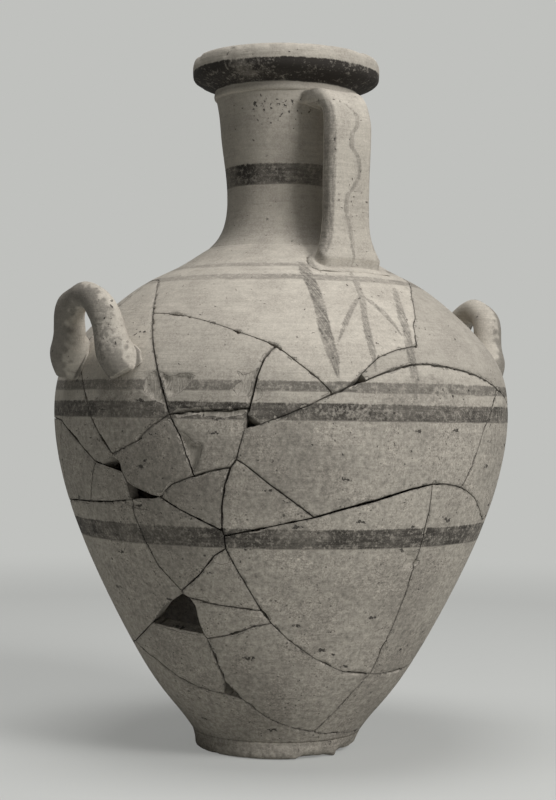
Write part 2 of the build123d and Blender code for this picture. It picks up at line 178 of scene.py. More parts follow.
def surfaced(tree, shader, colour, relief, depth, roughness, specular):
    """Give a shader its colour, its relief with a depth in mm, and its sheen."""
    bump = node(tree, "Bump", {"Height": relief, "Strength": 1.0, "Distance": depth * mm})
    tree.links.new(colour.outputs[2], shader.inputs["Base Color"])
    tree.links.new(bump.outputs[0], shader.inputs["Normal"])
    shader.inputs["Roughness"].default_value = roughness
    shader.inputs["Specular IOR Level"].default_value = specular


def fired_clay(name, bands, strokes, across_strap=False):
    """Slipped and painted earthenware. Strokes run up the wall, or up the strap handle."""
    material, tree, shader = blank(name)
    where = node(tree, "TexCoord").outputs
    spot = where["Object"]
    axes = node(tree, "SeparateXYZ", [spot]).outputs
    facing = node(tree, "SeparateXYZ", [where["Normal"]]).outputs

    # Irregularities of the clay, the wheel and the ground, from broad to fine
    broad, blotch, grain, speck = [
        node(tree, "TexNoise", {
            "Vector": spot, "Scale": 1 / (size * mm), "Detail": detail, "Roughness": roughness,
        })
        for size, detail, roughness in clay_patterns
    ]
    broad_sway, blotch_sway, grain_sway, speck_sway = [
        node(tree, "Math", (pattern, 0.5), operation="SUBTRACT")
        for pattern in (broad, blotch, grain, speck)
    ]
    flat = node(tree, "Mapping", {"Vector": spot, "Scale": (1.0, 1.0, wheel_flatness)})
    wheel = node(tree, "TexNoise", {
        "Vector": flat, "Scale": 1 / (wheel_mark * mm), "Detail": 5.0, "Roughness": 0.6,
    })

    # Only what faces away from the jar's axis is painted
    out_x = node(tree, "Math", (axes["X"], facing["X"]), operation="MULTIPLY")
    out_xy = node(tree, "Math", (axes["Y"], facing["Y"], out_x), operation="MULTIPLY_ADD")
    outside = node(tree, "Math", (out_xy, 0.0), operation="GREATER_THAN")

    # The bands run round the jar, their edges a little uneven
    waver = node(tree, "Math", (blotch, 2.0, -1.0), operation="MULTIPLY_ADD")
    ragged = node(tree, "Math", (grain_sway, 1.6, waver), operation="MULTIPLY_ADD")
    frayed = node(tree, "Math", (speck_sway, 0.7, ragged), operation="MULTIPLY_ADD")
    height = node(tree, "Math", (axes["Z"], 1 / mm, frayed), operation="MULTIPLY_ADD")
    coats = []
    for low, high, density in bands:
        half = (high - low) / 2
        above = node(tree, "Math", (height, (low + high) / 2), operation="SUBTRACT")
        away = node(tree, "Math", [above], operation="ABSOLUTE")
        edge = (half + band_feather, half - band_feather)
        coats.append(node(tree, "MapRange", (away, *edge, 0.0, density)))

    # A stroke's middle is a curve of the height, and hairs of the brush streak its colour
    if across_strap:
        across = node(tree, "Math", (axes["X"], 1 / mm), operation="MULTIPLY")
        per_unit = 1.0
    else:
        front = node(tree, "Math", (axes["Y"], -1.0), operation="MULTIPLY")
        turn = node(tree, "Math", (axes["X"], front), operation="ARCTAN2")
        across = node(tree, "Math", (turn, 180 / math.pi), operation="MULTIPLY")
        level = node(tree, "Mapping", {"Vector": spot, "Scale": (1.0, 1.0, 0.0)})
        radius = node(tree, "VectorMath", [level], operation="LENGTH")
        per_unit = node(tree, "Math", (radius, math.pi / 180 / mm), operation="MULTIPLY")
    sideways = node(tree, "Math", (across, per_unit), operation="MULTIPLY")
    upwards = node(tree, "Math", (height, 0.05), operation="MULTIPLY")
    hairs = node(tree, "CombineXYZ", (sideways, upwards))
    streaks = node(tree, "TexNoise", {"Vector": hairs, "Scale": 0.9, "Detail": 3.0})
    streaked = node(tree, "MapRange", (streaks, 0.44, 0.60, 1.0, 0.6))
    for half_width, density, points in strokes:
        low, high = points[0][0], points[-1][0]
        left, right = min(p[1] for p in points) - 1, max(p[1] for p in points) + 1
        course = node(tree, "FloatCurve", {"Value": node(tree, "MapRange", (height, low, high))})
        curve = course.mapping.curves[0]
        shares = [((h - low) / (high - low), (p - left) / (right - left)) for h, p in points]
        curve.points[0].location = shares[0]
        curve.points[1].location = shares[-1]
        for point in shares[1:-1]:
            curve.points.new(*point)
        course.mapping.update()
        middle = node(tree, "MapRange", (course, 0.0, 1.0, left, right))
        beside = node(tree, "Math", (across, middle), operation="SUBTRACT")
        away = node(tree, "Math", [beside], operation="ABSOLUTE")
        fringe = node(tree, "Math", (away, per_unit, frayed), operation="MULTIPLY_ADD")
        foot_end = node(tree, "MapRange", (height, low, low + stroke_taper, 0.1, 1.0))
        head_end = node(tree, "MapRange", (height, high, high - stroke_taper * 0.4, 0.5, 1.0))
        taper = node(tree, "Math", (foot_end, head_end), operation="MULTIPLY")
        past_edge = node(tree, "Math", (taper, -half_width, fringe), operation="MULTIPLY_ADD")
        body = node(tree, "MapRange", (past_edge, 0.7, -0.5, 0.0, density))
        stroke = node(tree, "Math", (body, streaked), operation="MULTIPLY")
        begun = node(tree, "Math", (height, low), operation="GREATER_THAN")
        unended = node(tree, "Math", (height, high), operation="LESS_THAN")
        within = node(tree, "Math", (begun, unended), operation="MULTIPLY")
        coats.append(node(tree, "Math", (stroke, within), operation="MULTIPLY"))
    paint = coats[0]
    for coat in coats[1:]:
        paint = node(tree, "Math", (paint, coat), operation="MAXIMUM")
    paint = node(tree, "Math", (paint, outside), operation="MULTIPLY")

    # Wear thins the paint in patches, rubs it along the wheel marks and pocks it
    for pattern, (low, high, left) in zip((broad, blotch, wheel, grain, speck), paint_wear):
        worn = node(tree, "MapRange", (pattern, low, high, 1.0, left))
        paint = node(tree, "Math", (paint, worn), operation="MULTIPLY")

    # The slip, clouded and grubbier on the lower body
    clouded = node(tree, "MapRange", (blotch, 0.38, 0.64), interpolation_type="SMOOTHSTEP")
    slips = {0: clouded, 6: linear(slip_pale), 7: linear(slip_mid)}
    slip = node(tree, "Mix", slips, data_type="RGBA")
    lifted = node(tree, "Math", (broad_sway, -stain_sway, height), operation="MULTIPLY_ADD")
    lower = node(
        tree, "MapRange", (lifted, clean_above, grubby_below, 0.08, 0.40),
        interpolation_type="SMOOTHSTEP",
    )
    cloudy = node(
        tree, "MapRange", (broad, 0.42, 0.66, 0.55, 1.35), interpolation_type="SMOOTHSTEP",
    )
    stain = node(tree, "Math", (lower, cloudy), operation="MULTIPLY")
    skin = node(tree, "Mix", {0: stain, 6: slip, 7: linear(slip_stained)}, data_type="RGBA")

    # Its own tone for each sherd (on the shoulder partly painted light and shade), the lines of the
    # wheel, the mottles of the clay and its specks make it paler or darker
    tone = node(tree, "Attribute", attribute_name="tone").outputs["Fac"]
    lines = node(tree, "MapRange", (wheel, 0.36, 0.64, 0.94, 1.05))
    coarse = node(tree, "MapRange", (lifted, clean_above, grubby_below, 0.25, 1.0))
    coarser = node(tree, "Math", (coarse, 1.8), operation="MULTIPLY")
    clouds = node(tree, "Math", (blotch_sway, coarse, 1.02), operation="MULTIPLY_ADD")
    mottles = node(tree, "Math", (grain_sway, coarser, clouds), operation="MULTIPLY_ADD")
    gritty_blotch = node(tree, "MapRange", (blotch, 0.44, 0.60))
    gritty = node(tree, "Math", (gritty_blotch, coarse), operation="MULTIPLY")
    contrast = node(tree, "Math", (gritty, 1.7, 0.6), operation="MULTIPLY_ADD")
    specks = node(tree, "Math", (speck_sway, contrast, 1.0), operation="MULTIPLY_ADD")
    for level in (tone, lines, mottles, specks):
        shades = {0: 1.0, 6: skin, 7: level}
        skin = node(tree, "Mix", shades, data_type="RGBA", blend_type="MULTIPLY")

    # Where the skin is flaked or chipped away in facets, the clay under it shows, hackly and
    # paler, with a dark line of shadow and dirt along the step
    facets = node(
        tree, "TexVoronoi", {"Vector": spot, "Scale": 1 / (fracture_size * mm)},
        distance="MANHATTAN",
    )
    facet_sway = node(tree, "Math", (facets, 0.5), operation="SUBTRACT")
    flaked = node(tree, "Attribute", attribute_name="flaked").outputs["Fac"]
    torn = node(tree, "Math", (facet_sway, 0.25, flaked), operation="MULTIPLY_ADD")
    torn = node(tree, "Math", (grain_sway, 0.6, torn), operation="MULTIPLY_ADD")
    bare = node(tree, "MapRange", (torn, 0.05, 0.09, 0.0, 0.8))
    hackled = node(tree, "Mapping", {
        "Vector": spot, "Rotation": (0.5, 0.4, 0.7), "Scale": (1.0, 5.0, 1.0),
    })
    hackles = node(tree, "TexNoise", {
        "Vector": hackled, "Scale": 1 / (hackle_size * mm), "Detail": 4.0, "Roughness": 0.65,
    })
    pitted = node(tree, "Attribute", attribute_name="pitted").outputs["Fac"]
    chalk = node(tree, "MapRange", (grain, 0.46, 0.56, 0.0, 0.9))
    crust = node(tree, "Math", (pitted, chalk), operation="MULTIPLY")
    for share, colour in ((paint, iron_paint), (crust, slip_pale), (bare, bare_clay)):
        skin = node(tree, "Mix", {0: share, 6: skin, 7: linear(colour)}, data_type="RGBA")
    hackle_sway = node(tree, "Math", (hackles, 0.5), operation="SUBTRACT")
    bare_hackles = node(tree, "Math", (hackle_sway, bare), operation="MULTIPLY")
    shades = {0: 1.0, 6: skin, 7: node(tree, "MapRange", (bare_hackles, -0.14, 0.14, 0.66, 1.16))}
    skin = node(tree, "Mix", shades, data_type="RGBA", blend_type="MULTIPLY")
    past_step = node(tree, "Math", (torn, 0.05), operation="SUBTRACT")
    from_step = node(tree, "Math", [past_step], operation="ABSOLUTE")
    step_line = node(tree, "MapRange", (from_step, 0.05, 0.0, 0.0, 0.7))

    # Grit specks, pits that are dense where the skin is pitted, and a few gouges that the wheel
    # drew out sideways
    grits = node(tree, "TexVoronoi", {"Vector": spot, "Scale": 1 / (grit_spacing * mm)})
    grit_size = node(tree, "MapRange", (grits.outputs["Color"], 0.40, 0.95, 0.0, 0.22))
    dense = node(tree, "Math", (gritty, pitted), operation="ADD")
    denser = node(tree, "Math", (dense, 0.7), operation="ADD")
    grit_reach = node(tree, "Math", (grit_size, denser), operation="MULTIPLY")
    past_grit = node(tree, "Math", (grits, grit_reach), operation="SUBTRACT")
    grit = node(tree, "MapRange", (past_grit, -0.05, 0.02, 0.6, 0.0))
    drawn = node(tree, "Mapping", {"Vector": spot, "Scale": (1.0, 1.0, gouge_flatness)})
    jogged, bent = [
        node(tree, "VectorMath", (grain.outputs["Color"], jog, start), operation="MULTIPLY_ADD")
        for start, jog in ((spot, (pit_jog * mm,) * 3), (drawn, (gouge_shake * mm,) * 3))
    ]
    cells = node(tree, "TexVoronoi", {"Vector": jogged, "Scale": 1 / (pit_spacing * mm)})
    pit_size = node(tree, "MapRange", (cells.outputs["Color"], 0.58, 0.85, 0.0, 0.16))
    pit_reach = node(tree, "Math", (pitted, 0.24, pit_size), operation="MULTIPLY_ADD")
    past_pit = node(tree, "Math", (cells, pit_reach), operation="SUBTRACT")
    pit = node(tree, "MapRange", (past_pit, -0.03, 0.02, 1.0, 0.0))
    hollows = node(tree, "TexVoronoi", {"Vector": bent, "Scale": 1 / (gouge_spacing * mm)})
    gouge_size = node(tree, "MapRange", (hollows.outputs["Color"], 0.30, 0.75, 0.0, 0.16))
    gouge_reach = node(tree, "Math", (gouge_size, coarse), operation="MULTIPLY")
    past_gouge = node(tree, "Math", (hollows, gouge_reach), operation="SUBTRACT")
    gouge = node(tree, "MapRange", (past_gouge, -0.02, 0.01, 1.0, 0.0))
    near_gouge = node(tree, "MapRange", (past_gouge, 0.05, 0.0, 0.0, 0.5))
    wide_gouge = node(tree, "MapRange", (gouge_reach, 0.02, 0.05))
    gouge_rim = node(tree, "Math", (near_gouge, wide_gouge), operation="MULTIPLY")
    dents = node(tree, "Math", (pit, gouge), operation="MAXIMUM")
    # The grit specks, the hollows of the pits and gouges, and the grime along the breaks are
    # darkened
    grime = node(tree, "Attribute", attribute_name="grime").outputs["Fac"]
    darkening = node(tree, "Math", (grit, coarse), operation="MULTIPLY")
    for pattern, share in ((dents, 0.85), (grime, 0.4)):
        dark = node(tree, "Math", (pattern, share), operation="MULTIPLY")
        darkening = node(tree, "Math", (darkening, dark), operation="MAXIMUM")
    for share, colour in ((step_line, grit_and_shadow_dark), (gouge_rim, bare_clay), (darkening, grit_and_shadow_dark)):
        skin = node(tree, "Mix", {0: share, 6: skin, 7: linear(colour)}, data_type="RGBA")

    # Relief of the grain, the wheel marks, the pits and the step at a flake's edge
    torn_grain = node(tree, "Math", (hackles, bare), operation="MULTIPLY")
    relief = node(tree, "Math", (grain, 0.25), operation="MULTIPLY")
    for pattern, rise in (
        (wheel, 0.5), (speck, 0.16), (torn_grain, 1.2), (dents, -0.8), (bare, -1.1),
    ):
        relief = node(tree, "Math", (pattern, rise, relief), operation="MULTIPLY_ADD")
    surfaced(tree, shader, skin, relief, skin_relief, earthenware_roughness, earthenware_specular)
    return material


def torn_core(name):
    """The open break of the clay: a grey core that the kiln left, grainy and dull."""
    material, tree, shader = blank(name)
    spot = node(tree, "TexCoord").outputs["Object"]
    crumbs = node(tree, "TexNoise", {
        "Vector": spot, "Scale": 1 / (crumb_size * mm), "Detail": 5.0, "Roughness": 0.7,
    })
    share = node(tree, "MapRange", (crumbs, 0.4, 0.65))
    greys = {0: share, 6: linear(core_grey), 7: linear(grit_and_shadow_dark)}
    colour = node(tree, "Mix", greys, data_type="RGBA")
    surfaced(tree, shader, colour, crumbs, core_relief, core_roughness, core_specular)
    return material


def smooth_line(points, step):
    """A natural cubic spline through the points, cut into even steps."""
    points = np.array(points, float)
    along = np.concatenate([[0], np.cumsum(np.hypot(*np.diff(points, axis=0).T))])
    gaps = np.diff(along)
    size = len(points)
    matrix = np.eye(size)
    wanted = np.zeros((size, 2))
    for row in range(1, size - 1):
        matrix[row, row - 1:row + 2] = gaps[row - 1], 2 * (gaps[row - 1] + gaps[row]), gaps[row]
        slopes = np.diff(points[row - 1:row + 2], axis=0) / gaps[row - 1:row + 1, None]
        wanted[row] = 6 * (slopes[1] - slopes[0])
    bend = np.linalg.solve(matrix, wanted)
    line = []
    for place in np.linspace(0, along[-1], max(2, round(along[-1] / step) + 1)):
        span = min(max(np.searchsorted(along, place) - 1, 0), size - 2)
        gap = gaps[span]
        a, b = (along[span + 1] - place) / gap, (place - along[span]) / gap
        curved = ((a**3 - a) * bend[span] + (b**3 - b) * bend[span + 1]) * gap**2 / 6
        line.append(tuple(a * points[span] + b * points[span + 1] + curved))
    return line


def inset_line(line, depth):
    """A line moved square to itself into the clay."""
    moved = []
    for place, (radius, height) in enumerate(line):
        before, after = line[max(place - 1, 0)], line[min(place + 1, len(line) - 1)]
        out, up = after[0] - before[0], after[1] - before[1]
        run = math.hypot(out, up)
        moved.append((radius - depth * up / run, height + depth * out / run))
    return moved


def select_only(piece):
    """Select one piece and make it active, as the operators act on all that is selected."""
    bpy.ops.object.select_all(action="DESELECT")
    piece.select_set(True)
    bpy.context.view_layer.objects.active = piece


def turned(name, outline, columns):
    """A closed outline of (radius, height) in mm, spun round the jar's axis."""
    mesh = bpy.data.meshes.new(name)
    corners = [(radius * mm, 0, height * mm) for radius, height in outline]
    mesh.from_pydata(corners, [(i, i + 1) for i in range(len(corners) - 1)], [])
    piece = bpy.data.objects.new(name, mesh)
    bpy.context.scene.collection.objects.link(piece)
    select_only(piece)
    bpy.ops.object.mode_set(mode="EDIT")
    bpy.ops.mesh.select_all(action="SELECT")
    bpy.ops.mesh.spin(steps=columns, angle=math.tau, center=(0, 0, 0), axis=(0, 0, 1))
    bpy.ops.mesh.select_all(action="SELECT")
    bpy.ops.mesh.remove_doubles(threshold=0.01 * mm)
    bpy.ops.mesh.normals_make_consistent(inside=False)
    bpy.ops.object.mode_set(mode="OBJECT")
    return piece


def outward(point):
    """The level direction from the jar's axis to a point."""
    return Vector((point.x, point.y, 0)).normalized()


def potters_hand(point):
    """How far a turned surface falls inside its true circle at a point, in metres."""
    out = outward(point)
    slow = noise.noise(point * wobbles_per_metre) - 1
    ring = Vector((out.x * 0.6, out.y * 0.6, point.z * ridges_per_metre))
    return (slow * potter_wobble + (noise.noise(ring) - 1) * potter_ridges) * mm


# Flaked patches of the skin: how deep in mm, and the outline in (azimuth, height) points
flaked_patches = [
    (1.1, [
        (-69.0, 252.1), (-67.9, 256.1), (-66.3, 257.9), (-64.8, 250.1), (-63.5, 243.2),
        (-62.2, 235.4), (-65.9, 238.0), (-68.5, 243.1), (-69.4, 245.3),
    ]),
    (1.6, [
        (-65.3, 256.9), (-62.7, 253.7), (-58.5, 255.7), (-56.1, 253.8), (-57.7, 247.3),
        (-60.4, 241.4), (-62.2, 240.3), (-63.6, 246.2),
    ]),
    (1.3, [
        (-60.8, 230.0), (-55.9, 232.7), (-50.3, 233.4), (-43.6, 234.3), (-44.3, 230.2),
        (-46.6, 229.6), (-48.8, 228.6), (-51.0, 229.8), (-53.4, 228.1), (-54.6, 230.2),
        (-57.4, 229.9), (-59.8, 227.0),
    ]),
    (2.2, [
        (-59.9, 219.8), (-57.9, 217.9), (-56.5, 215.0), (-57.2, 211.6), (-54.1, 211.7),
        (-54.6, 203.4), (-56.1, 196.4), (-57.0, 194.8), (-58.1, 206.1),
    ]),
    (1.0, [
        (-46.5, 257.9), (-44.7, 254.5), (-41.9, 257.6), (-42.6, 248.8), (-43.4, 241.9),
        (-45.6, 241.8), (-46.8, 246.7), (-44.7, 251.6),
    ]),
    (0.9, [(-42.4, 246.8), (-40.3, 245.9), (-40.6, 241.1), (-42.6, 238.1)]),
    (1.5, [
        (-77.4, 175.4), (-75.3, 176.4), (-72.4, 174.5), (-69.9, 169.4), (-74.4, 170.3),
        (-76.6, 171.8),
    ]),
    (1.6, [(-67.4, 180.5), (-64.7, 182.7), (-63.8, 175.8), (-65.8, 176.6)]),
    (0.7, [(-52.0, 144.5), (-49.2, 144.3), (-49.0, 138.8), (-51.8, 136.4), (-53.9, 138.4)]),
    (2.2, [
        (0.0, 145.4), (4.8, 144.2), (4.8, 139.6), (6.7, 137.1), (4.4, 132.8), (0.1, 134.8),
        (1.4, 139.2),
    ]),
    (1.6, [(-62.3, 114.8), (-57.5, 113.9), (-56.9, 111.7), (-60.9, 110.4)]),
    (1.0, [
        (-82.7, 93.8), (-72.3, 92.4), (-62.1, 90.7), (-63.9, 88.6), (-71.2, 89.2), (-78.9, 91.2),
    ]),
    (1.3, [(127.0, 214.0), (131.0, 219.0), (135.0, 211.0), (132.5, 203.0), (128.5, 205.0)]),
    (1.2, [(201.0, 266.0), (206.0, 268.0), (210.0, 262.0), (207.0, 256.0), (202.5, 259.0)]),
    (1.4, [(167.0, 126.0), (172.0, 129.0), (175.0, 122.0), (170.0, 116.0)]),
]
# Their edge is ragged and their floor rough: noise waves a metre, and how strong the noise is
flake_feather = 4.0
flake_steepness = 3.0
ragged_waves, ragged_share = 160, 0.1
rough_waves, rough_depth = 420, 0.6

# Pitted patches of the skin: azimuth, height, half width, half height, and how dense the pits are
pitted_patches = [
    (-46.0, 438.0, 32, 13, 1.6), (-62.0, 478.0, 26, 12, 0.8), (-77.0, 282.0, 14, 24, 0.9),
    (-20.0, 233.0, 40, 8, 0.5), (6.0, 246.0, 30, 10, 0.45), (10.0, 208.0, 45, 10, 0.5),
    (160.0, 300.0, 40, 18, 0.6), (120.0, 440.0, 25, 12, 0.7), (200.0, 150.0, 40, 20, 0.5),
]


def spots_of(piece):
    """All the corners of a piece's mesh as rows of x, y, z in metres."""
    flat = np.empty(len(piece.data.vertices) * 3)
    piece.data.vertices.foreach_get("co", flat)
    return flat.reshape(-1, 3)


def degrees_apart(turn, azimuth):
    """How far a turn round the jar is from an azimuth, the short way, in degrees."""
    return (turn - azimuth + 180) % 360 - 180


def round_the_jar(spots):
    """The azimuths of spots in degrees, 0 at the strap, and their distances from the axis in mm."""
    turns = np.degrees(np.arctan2(spots[:, 0], -spots[:, 1]))
    return turns, np.hypot(spots[:, 0], spots[:, 1]) / mm


def flake_shares(spots):
    """How far inside a flaked patch each spot is, 1 from the feather's width on, and its depth."""
    turns, radii = round_the_jar(spots)
    best, depths = np.full(len(spots), -1.0), np.zeros(len(spots))
    for depth, outline in flaked_patches:
        corners = np.array(outline)
        middle = corners.mean(axis=0)
        apart = degrees_apart(turns, middle[0])
        points = np.column_stack((np.radians(apart) * radii, spots[:, 2] / mm - middle[1]))
        corners[:, 0] = np.radians(corners[:, 0] - middle[0]) * skin_radius(middle[1])
        corners[:, 1] -= middle[1]
        reach = np.hypot(*corners.T).max() + flake_feather
        near = np.flatnonzero(np.hypot(*points.T) < reach)
        points = points[near]
        distance, inside = np.full(len(near), np.inf), np.zeros(len(near), bool)
        for start, end in zip(corners, np.roll(corners, -1, axis=0)):
            side = end - start
            share = np.clip((points - start) @ side / (side @ side), 0, 1)
            distance = np.minimum(distance, np.hypot(*(points - start - share[:, None] * side).T))
            if side[1]:
                crossed = (start[1] > points[:, 1]) != (end[1] > points[:, 1])
                crossing = start[0] + (points[:, 1] - start[1]) * side[0] / side[1]
                inside ^= crossed & (points[:, 0] < crossing)
        shares = np.clip(np.where(inside, distance, -distance) / flake_feather, -1, 1)
        depths[near] = np.where(shares > best[near], depth, depths[near])
        best[near] = np.maximum(best[near], shares)
    return best, depths


def patch_shares(spots, patches):
    """How far inside a patch each spot is: its strength in the middle, 0 on the edge."""
    turns, radii = round_the_jar(spots)
    best = np.full(len(spots), -1.0)
    for azimuth, middle, half_width, half_height, strength in patches:
        across = np.radians(degrees_apart(turns, azimuth)) * radii / half_width
        up = (spots[:, 2] / mm - middle) / half_height
        best = np.maximum(best, (1 - np.hypot(across, up)) * strength)
    return best


def mark_skin(piece, tone=1.0, edge_flakes=-1.0, edge_grime=0.0):
    """Write where a piece's skin is flaked, pitted or dirty, and its own tone, for the clay."""
    spots = spots_of(piece)
    shares = {
        "flaked": np.maximum(flake_shares(spots)[0], edge_flakes),
        "pitted": np.clip(patch_shares(spots, pitted_patches), 0, 1),
        "grime": np.zeros(len(spots)) + edge_grime,
        "tone": np.zeros(len(spots)) + tone,
    }
    for name, values in shares.items():
        piece.data.attributes.new(name, "FLOAT", "POINT").data.foreach_set("value", values)


outer_line = smooth_line(body_outline, wall_row)
outer_radii = np.array(outer_line)
neck_joint_inside = (body_outline[-1][0] - wall_thickness, body_outline[-1][1])
inner_line = inset_line(outer_line, wall_thickness)
inner_line = [p for p in inner_line if p[1] > floor_edge[1] + floor_fillet]
inner_points = [floor_edge] + inner_line[4:-6:8] + [neck_joint_inside]
inner_line = smooth_line(inner_points, wall_row * 2.4)
wall_outline = [(0.0, foot_height), (underside_ring, foot_height)] + outer_line
wall_outline += inner_line[::-1] + [(floor_ring, floor_edge[1]), (0.0, floor_edge[1])]
whole_wall = turned("whole_wall", wall_outline, wall_columns)


def skin_radius(height):
    """Radius of the true outside of the body at a height, both in mm."""
    return float(np.interp(height, outer_radii[:, 1], outer_radii[:, 0]))


def on_outside(point):
    """Whether a point of the wall lies on its outside rather than its inside."""
    radius, height = math.hypot(point.x, point.y) / mm, point.z / mm
    if height < 30 and radius < floor_edge[0] + 4:
        return height < (foot_height + floor_edge[1]) / 2
    slant = 1.6 if height > 285 or height < 60 else 1.0
    return radius > skin_radius(height) - wall_thickness / 2 * slant


for vertex, share, depth in zip(whole_wall.data.vertices, *flake_shares(spots_of(whole_wall))):
    spot = vertex.co.copy()
    out = outward(spot)
    vertex.co += out * potters_hand(spot)
    share += noise.noise(spot * ragged_waves) * ragged_share
    if share > 0 and on_outside(spot) and spot.z > (foot_height + 1) * mm:
        rough = rough_depth * noise.noise(spot * rough_waves)
        vertex.co -= out * min(share * flake_steepness, 1) * (depth + rough) * mm

wall_clay = fired_clay("slipped earthenware with iron-slip bands", painted_bands, shoulder_strokes)
broken_clay = torn_core("torn earthenware core")
weld = 0.004
sherd_grows = 1.12
sherd_shrinks = 0.88
sherd_crease = 34


def cad_copy(name):
    """A copy of a CAD node to shape, without its material, selected alone."""
    piece = bpy.data.objects.new(name + "_clay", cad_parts[name].data.copy())
    bpy.context.scene.collection.objects.link(piece)
    piece.data.materials.clear()
    select_only(piece)
    return piece


def cut_sherd(name):
    """One sherd of the turned wall: the CAD sherd, drawn out along its rays, cuts it out."""
    sherd = cad_copy(name)
    shape = bmesh.new()
    shape.from_mesh(sherd.data)
    bmesh.ops.remove_doubles(shape, verts=shape.verts, dist=weld * mm)
    for vertex in shape.verts:
        reach = sherd_grows if on_outside(vertex.co) else sherd_shrinks
        vertex.co = rays_from + (vertex.co - rays_from) * reach
    shape.to_mesh(sherd.data)
    shape.free()
    cut = sherd.modifiers.new("cut", "BOOLEAN")
    cut.operation = "INTERSECT"
    cut.solver = "MANIFOLD"
    cut.object = whole_wall
    bpy.ops.object.modifier_apply(modifier="cut")
    return sherd


# How far in mm the broken edges are worn and dirty, but not at the root of a handle. A depth
# and a setback have three parts: the least wear, what fine grain adds, and what a chip adds.
edge_spacing = 1.0
edge_reach = 2.2
grime_reach = 0.8
edge_depths = (0.04, 0.12, 0.9)
edge_setbacks = (0.01, 0.06, 0.5)
edge_grain_waves = 700
break_slant = 0.3
lowest_break, highest_break = 12.1, 344.9
socket_reach = 2.5
handle_names = ["strap_handle", "loop_handle_left", "loop_handle_right"]
handles = []
for name in handle_names:
    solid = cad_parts[name].data
    corners = [vertex.co for vertex in solid.vertices]
    handles.append(BVHTree.FromPolygons(corners, [face.vertices for face in solid.polygons]))

# Chips come in two sizes: how many noise waves a metre, how rare they are, and how deep in mm
edge_chips = [(110, 0.12, 2.2), (300, 0.18, 1.4)]


def chipped(spot, chips):
    """How deep a surface is chipped at a spot, before the wear of the place."""
    return sum(max(0.0, noise.noise(spot * waves) - rare) * deep for waves, rare, deep in chips)


def in_socket(point):
    """Whether a point of the wall lies at the root of a handle, where nothing is worn."""
    return any(handle.find_nearest(point)[3] < socket_reach * mm for handle in handles)


def break_edges(sherd):
    """Chip and wear the broken edges round a sherd's outside, and mark its flaked skin."""
    shape = bmesh.new()
    shape.from_mesh(sherd.data)

    def from_inside(point):
        return (point - rays_from).normalized()

    def is_break(face):
        return abs(face.normal.dot(from_inside(face.calc_center_median()))) < break_slant

    def between_joints(point):
        return lowest_break * mm < point.z < highest_break * mm

    def borders():
        found = []
        for edge in shape.edges:
            if len(edge.link_faces) == 2:
                first, second = edge.link_faces
                if is_break(first) != is_break(second):
                    skin, side = (second, first) if is_break(first) else (first, second)
                    spot = edge.verts[0].co
                    outside = skin.normal.dot(from_inside(skin.calc_center_median())) > 0
                    if outside and between_joints(spot) and not in_socket(spot):
                        found.append((edge, side))
        return found

    near = set()
    for edge, side in borders():
        for vertex in edge.verts:
            near.update(e for f in vertex.link_faces if not is_break(f) for e in f.edges)
        near.add(edge)
    long = [e for e in near if e.calc_length() > edge_spacing * mm * 1.2]
    bmesh.ops.subdivide_edges(shape, edges=long, cuts=1, use_grid_fill=True)
    inward = {}
    for edge, side in borders():
        for vertex in edge.verts:
            inward.setdefault(vertex, []).append(side.normal.copy())
    tree = KDTree(max(len(inward), 1))
    for place, vertex in enumerate(inward):
        tree.insert(vertex.co.copy(), place)
    tree.balance()
    wear = {}
    for vertex in shape.verts:
        spot = vertex.co
        ray = from_inside(spot)
        if vertex.normal.dot(ray) < 0.2 or not inward:
            continue
        closeness = max(0.0, 1 - tree.find(spot)[2] / (edge_reach * mm))
        if closeness:
            fine = 0.5 + 0.5 * noise.noise(spot * edge_grain_waves)
            wear[vertex] = (closeness, fine, chipped(spot, edge_chips), ray)
    for vertex, (closeness, fine, chip, ray) in wear.items():
        least, of_fine, of_chip = edge_depths
        move = -ray * (closeness**1.5 * (least + of_fine * fine + of_chip * chip)) * mm
        if vertex in inward:
            least, of_fine, of_chip = edge_setbacks
            side = sum(inward[vertex], Vector()).normalized()
            move -= side * (least + of_fine * fine + of_chip * chip) * mm
        vertex.co += move
    for face in shape.faces:
        open_break = is_break(face) and between_joints(face.calc_center_median())
        face.material_index = int(open_break)
    flakes = np.full(len(shape.verts), -1.0)
    darkening = np.zeros(len(shape.verts))
    for place, vertex in enumerate(shape.verts):
        if vertex in wear:
            closeness, fine, chip, ray = wear[vertex]
            flakes[place] = closeness * (0.9 * chip + 0.05) - 0.2
            grimy = max(0.0, 1 - (1 - closeness) * edge_reach / grime_reach)
            darkening[place] = grimy * (0.5 + 0.5 * fine)
    shape.to_mesh(sherd.data)
    shape.free()
    return flakes, darkening


# How much paler or darker than the rest some sherds came out of the ground. On the shoulder the
# tones are also painted light and shade: shoulder_left, shoulder_crown and shoulder_front_left are
# made paler and shoulder_right darker.
sherd_tones_and_painted_light = {
    "belly_left_patch": 0.94, "belly_small_wedge": 0.88, "belly_front_patch": 1.06,
    "belly_front_chisel": 1.08, "shoulder_front_left": 1.02, "shoulder_front_wedge": 1.04,
    "lower_left_panel": 0.90, "lower_left_wedge": 1.05, "shoulder_left": 1.12,
    "shoulder_right": 0.84, "shoulder_crown": 1.08, "lower_front": 1.04, "belly_far_left": 0.92,
    "lower_left_small": 1.04, "base_left": 0.95, "shoulder_back_left": 1.05, "lower_back": 0.94,
    "belly_back_right": 0.95, "base_right": 1.06,
}
for name in sorted(set(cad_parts) - {"foot_disc", "neck_and_lip", *handle_names}):
    sherd = cut_sherd(name)
    flakes, darkening = break_edges(sherd)
    sherd.data.materials.clear()
    sherd.data.materials.append(wall_clay)
    sherd.data.materials.append(broken_clay)
    mark_skin(sherd, sherd_tones_and_painted_light.get(name, 1.0), flakes, darkening)
    select_only(sherd)
    bpy.ops.object.shade_smooth_by_angle(angle=math.radians(sherd_crease))
    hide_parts(name)
    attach(sherd, "root")

